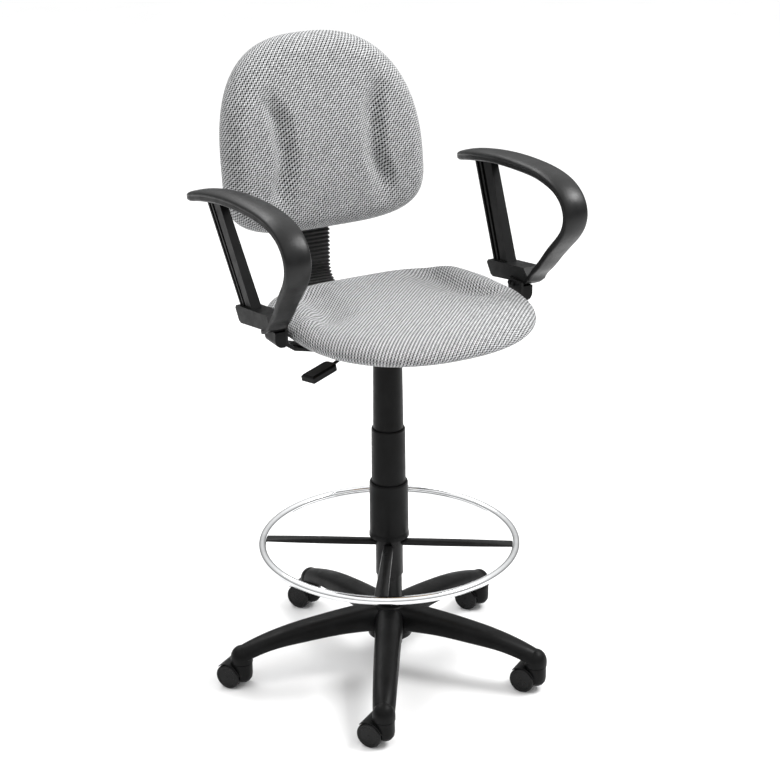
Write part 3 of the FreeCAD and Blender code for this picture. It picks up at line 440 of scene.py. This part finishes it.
def seat_cushion(materials):
    rings = []
    cloth = []
    centre = (0.0, (SEAT_FRONT_Y + SEAT_REAR_Y) / 2)

    def add_disc(inset, z, scale):
        for i in range(SEGMENTS):
            x, y = seat_outline(2 * math.pi * i / SEGMENTS, inset)
            x = centre[0] + (x - centre[0]) * scale
            y = centre[1] + (y - centre[1]) * scale
            rings.append((x, y, z))
            cloth.append((x, y))

    rings.append((centre[0], centre[1], SEAT_UNDER_Z))
    cloth.append(centre)
    for scale in UNDER_SCALES:
        add_disc(SEAT_TUCK, SEAT_UNDER_Z, scale)

    angles = [2 * math.pi * i / SEGMENTS for i in range(SEGMENTS)]
    sides = [seat_side(t) for t in angles]
    for k in range(len(sides[0])):
        for t, side in zip(angles, sides):
            inset, z, over_edge = side[k]
            x, y = seat_outline(t, inset)
            shoulder = Vector(seat_outline(t, seat_shoulder(t)))
            outward = (Vector(seat_outline(t, 0)) - shoulder).normalized()
            z_here = z + seat_dip(x, y) * smooth((z - SEAT_WAIST_Z) / (SEAT_TOP_Z - SEAT_WAIST_Z))
            rings.append((x, y, z_here))
            flat = shoulder + outward * over_edge
            cloth.append((flat.x, flat.y))

    for k in range(1, TOP_RINGS):
        scale = 1 - k / TOP_RINGS
        for t in angles:
            x, y = seat_outline(t, seat_shoulder(t))
            x = centre[0] + (x - centre[0]) * scale
            y = centre[1] + (y - centre[1]) * scale
            rings.append((x, y, SEAT_TOP_Z + SEAT_CROWN * (1 - scale ** 2) + seat_dip(x, y)))
            cloth.append((x, y))
    rings.append((centre[0], centre[1], SEAT_TOP_Z + SEAT_CROWN))
    cloth.append(centre)

    count = (len(rings) - 2) // SEGMENTS
    piece = mesh_object("seat_cushion_cover", rings, skin_of_rings(count), materials)
    add_cloth_map(piece, cloth)
    under_faces = SEGMENTS * (len(UNDER_SCALES) + 1)
    for face in piece.data.polygons[:under_faces]:
        face.material_index = 1
    subdivided(piece)
    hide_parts("seat_cushion")
    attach(piece, "seat")


# ---------------------------------------------------------------- back cushion

def back_middle_y(z):
    total = 0.0
    for i, (zi, yi) in enumerate(BACK_LEAN):
        weight = yi
        for j, (zj, _) in enumerate(BACK_LEAN):
            if j != i:
                weight *= (z - zj) / (zi - zj)
        total += weight
    return total


def back_outline(t, inset):
    up = math.sin(t) > 0
    height = (BACK_TOP_Z - BACK_WIDEST_Z if up else BACK_WIDEST_Z - BACK_BOTTOM_Z) - inset
    power = BACK_TOP_POWER if up else BACK_BOTTOM_POWER
    x = (BACK_HALF_WIDTH - inset) * signed_power(math.cos(t), 2 / power)
    z = BACK_WIDEST_Z + height * signed_power(math.sin(t), 2 / power)
    return x, z


def back_dent(x, z):
    """Two upright dents beside the spine, closer together at the waist."""
    dent_x = through_points(z, ((0.925, 0.112), (0.990, 0.098), (1.050, 0.101), (1.110, 0.115)))
    length = window(z, 0.955, 1.060, 0.075)
    return DENT_DEPTH * trough(abs(x) - dent_x, 0.038, 0.026) * length


def back_cushion(materials):
    points = []
    cloth = []
    half = BACK_HALF_THICK

    def front_y(x, z, share):
        """Depth of the skin: share is -1 on the front face and 1 on the rear."""
        wrap = BACK_WRAP * (x / BACK_HALF_WIDTH) ** 2 * smooth(-share)
        dent = back_dent(x, z) * smooth(-share * 1.5 - 0.3)
        return back_middle_y(z) + share * half - wrap + dent

    centre_z = BACK_WIDEST_Z
    points.append((0.0, front_y(0, centre_z, -1), centre_z))
    cloth.append((0.0, centre_z))
    for k in range(1, BACK_FACE_RINGS):
        scale = k / BACK_FACE_RINGS
        for i in range(SEGMENTS):
            x, z = back_outline(-2 * math.pi * i / SEGMENTS, half)
            x = x * scale
            z = centre_z + (z - centre_z) * scale
            points.append((x, front_y(x, z, -1), z))
            cloth.append((x, z))

    profile = []
    steps = 22
    for i in range(steps + 1):
        angle = math.radians(-90 + (90 + math.degrees(math.asin(BACK_REAR_SHARE))) * i / steps)
        profile.append((half * (1 - math.cos(angle)), math.sin(angle)))
    profile.append((BACK_RECESS_INSET - 0.0025, BACK_REAR_SHARE + 0.02))
    profile.append((BACK_RECESS_INSET, BACK_REAR_SHARE))
    length = 0.0
    previous = profile[0]
    for inset, share in profile:
        length += math.hypot(inset - previous[0], (share - previous[1]) * half)
        previous = (inset, share)
        for i in range(SEGMENTS):
            t = -2 * math.pi * i / SEGMENTS
            x, z = back_outline(t, inset)
            edge = Vector(back_outline(t, half))
            outward = (Vector(back_outline(t, 0)) - edge).normalized()
            points.append((x, front_y(x, z, share), z))
            flat = edge + outward * length
            cloth.append((flat.x, flat.y))

    for scale in (0.8, 0.5, 0.25):
        for i in range(SEGMENTS):
            x, z = back_outline(-2 * math.pi * i / SEGMENTS, BACK_RECESS_INSET)
            x = x * scale
            z = centre_z + (z - centre_z) * scale
            points.append((x, back_middle_y(z) + BACK_RECESS_Y, z))
            cloth.append((x, z))
    points.append((0.0, back_middle_y(centre_z) + BACK_RECESS_Y, centre_z))
    cloth.append((0.0, centre_z))

    count = (len(points) - 2) // SEGMENTS
    piece = mesh_object("back_cushion_cover", points, skin_of_rings(count), materials)
    add_cloth_map(piece, cloth)
    subdivided(piece)
    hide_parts("back_cushion")
    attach(piece, "back")


# ---------------------------------------------------------------- bellows

def bellows_frame(distance):
    """Centre and through-thickness direction of the sleeve, at a distance along it."""
    level = BAR_Y - BEND_R - BELLOWS_START_Y
    bend = math.pi / 2 * BEND_R
    if distance <= level:
        return Vector((0, BELLOWS_START_Y + distance, BAR_Z)), Vector((0, 0, 1))
    if distance <= level + bend:
        a = (distance - level) / BEND_R
        inward = Vector((0, -math.sin(a), math.cos(a)))
        return Vector((0, BAR_Y - BEND_R, BAR_Z + BEND_R)) - inward * BEND_R, inward
    return Vector((0, BAR_Y, BAR_Z + BEND_R + distance - level - bend)), Vector((0, -1, 0))


def bellows(material):
    """Folded sleeve with rounded folds, one closed skin."""
    length = (BAR_Y - BEND_R - BELLOWS_START_Y) + math.pi / 2 * BEND_R + BELLOWS_TOP_Z - BAR_Z - BEND_R
    folds = round(length / BELLOWS_PITCH)
    steps = folds * STEPS_PER_FOLD
    sides = BELLOWS_SIDES
    points = []
    faces = []
    for k in range(steps + 1):
        distance = length * k / steps
        centre, through = bellows_frame(distance)
        fold = (0.5 - 0.5 * math.cos(2 * math.pi * folds * k / steps)) ** 0.8
        a = BELLOWS_GROOVE[0] + (BELLOWS_RIDGE[0] - BELLOWS_GROOVE[0]) * fold
        b = BELLOWS_GROOVE[1] + (BELLOWS_RIDGE[1] - BELLOWS_GROOVE[1]) * fold
        for i in range(sides):
            t = 2 * math.pi * i / sides
            across = a * signed_power(math.cos(t), 2 / 5)
            out = b * signed_power(math.sin(t), 2 / 4)
            points.append(centre + Vector((across, 0, 0)) + through * out)
    for k in range(steps):
        for i in range(sides):
            j = (i + 1) % sides
            faces.append((k * sides + i, (k + 1) * sides + i, (k + 1) * sides + j, k * sides + j))
    faces.append(tuple(range(sides)))
    faces.append(tuple(reversed(range(steps * sides, (steps + 1) * sides))))
    piece = mesh_object("back_bellows_sleeve", points, faces, [material])
    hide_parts("back_bellows")
    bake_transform(piece)


# ---------------------------------------------------------------- studio

def area_light(name, place, target, size, energy):
    data = bpy.data.lights.new(name, "AREA")
    data.shape = "RECTANGLE"
    data.size, data.size_y = size
    data.energy = energy
    light = bpy.data.objects.new(name, data)
    light.location = place
    light.rotation_euler = (Vector(target) - Vector(place)).to_track_quat("-Z", "Y").to_euler()
    bpy.context.scene.collection.objects.link(light)


def studio():
    half = FLOOR_HALF
    floor = mesh_object(
        "studio_floor", [(-half, -half, 0), (half, -half, 0), (half, half, 0), (-half, half, 0)],
        [(0, 1, 2, 3)], [studio_floor("floor_paint")], False)
    world = bpy.data.worlds.new("studio_air")
    world.use_nodes = True
    nodes = world.node_tree.nodes
    direction = nodes.new("ShaderNodeTexCoord").outputs["Generated"]
    split = nodes.new("ShaderNodeSeparateXYZ")
    brightness = nodes.new("ShaderNodeMapRange")
    brightness.inputs["From Min"].default_value = 0.0
    brightness.inputs["From Max"].default_value = OVERHEAD_FROM
    brightness.inputs["To Min"].default_value = HORIZON_LIGHT
    brightness.inputs["To Max"].default_value = OVERHEAD_LIGHT
    world.node_tree.links.new(direction, split.inputs[0])
    world.node_tree.links.new(split.outputs[2], brightness.inputs["Value"])
    # seen straight on, the backdrop is as pale as the floor, however dim its light on the chair is
    backdrop = nodes.new("ShaderNodeMath")
    backdrop.operation = "MAXIMUM"
    seen = nodes.new("ShaderNodeLightPath").outputs["Is Camera Ray"]
    world.node_tree.links.new(brightness.outputs[0], backdrop.inputs[0])
    world.node_tree.links.new(seen, backdrop.inputs[1])
    world.node_tree.links.new(backdrop.outputs[0], nodes["Background"].inputs["Strength"])
    nodes["Background"].inputs["Color"].default_value = (1, 1, 1, 1)
    bpy.context.scene.world = world
    for name, settings in LIGHTS.items():
        area_light(name, *settings)
    bpy.context.scene.view_settings.view_transform = "Standard"


def camera():
    data = bpy.data.cameras.new("camera")
    data.lens = CAMERA_LENS
    data.sensor_width = 36.0
    data.clip_end = 100
    cam = bpy.data.objects.new("camera", data)
    turn = math.radians(CAMERA_AZIMUTH)
    cam.location = (CAMERA_DISTANCE * math.sin(turn), -CAMERA_DISTANCE * math.cos(turn), CAMERA_HEIGHT)
    level = Matrix.Rotation(turn + math.radians(CAMERA_YAW), 3, "Z")
    pitch = Matrix.Rotation(math.radians(90 - CAMERA_PITCH), 3, "X")
    roll = Matrix.Rotation(math.radians(CAMERA_ROLL), 3, "Z")
    cam.rotation_euler = (level @ pitch @ roll).to_euler()
    bpy.context.scene.collection.objects.link(cam)
    bpy.context.scene.camera = cam


# ---------------------------------------------------------------- assembly

def finish_cad_nodes(finishes):
    """Gives every carried-over CAD node the material of its slot in the record."""
    for entry in frame["record"]["subparts"]:
        node = frame["nodes"][entry["node"]]
        # the small screws on the arms are blackened, like the bracket they hold
        blackened = entry["node"] == "arm_screws"
        material = finishes["black_steel" if blackened else entry["material_slot"]]
        if node.material_slots:
            for slot in node.material_slots:
                slot.material = material
        else:
            node.data.materials.append(material)


fabric = tweed("tweed")
rubber = ribbed_rubber("bellows_rubber")
finishes = {
    "black_plastic": moulded_plastic("black_plastic", 0.003, 0.006, 0.42, 0.11),
    "caster_plastic": moulded_plastic("caster_plastic", 0.002, 0.004, 0.26, 0.2, 500.0),
    "arm_skin": moulded_plastic("arm_skin", 0.004, 0.008, 0.36, 0.3, 1300.0),
    "black_steel": painted_steel("black_steel"),
    "chrome": chrome("chrome"),
    "bright_steel": zinc_steel("bright_steel"),
    "plywood": plywood("plywood"),
    "tweed": fabric,
    "bellows_rubber": rubber,
}
finish_cad_nodes(finishes)
seat_cushion([fabric, dust_cover("dust_cover")])
back_cushion([fabric])
bellows(rubber)
studio()
camera()
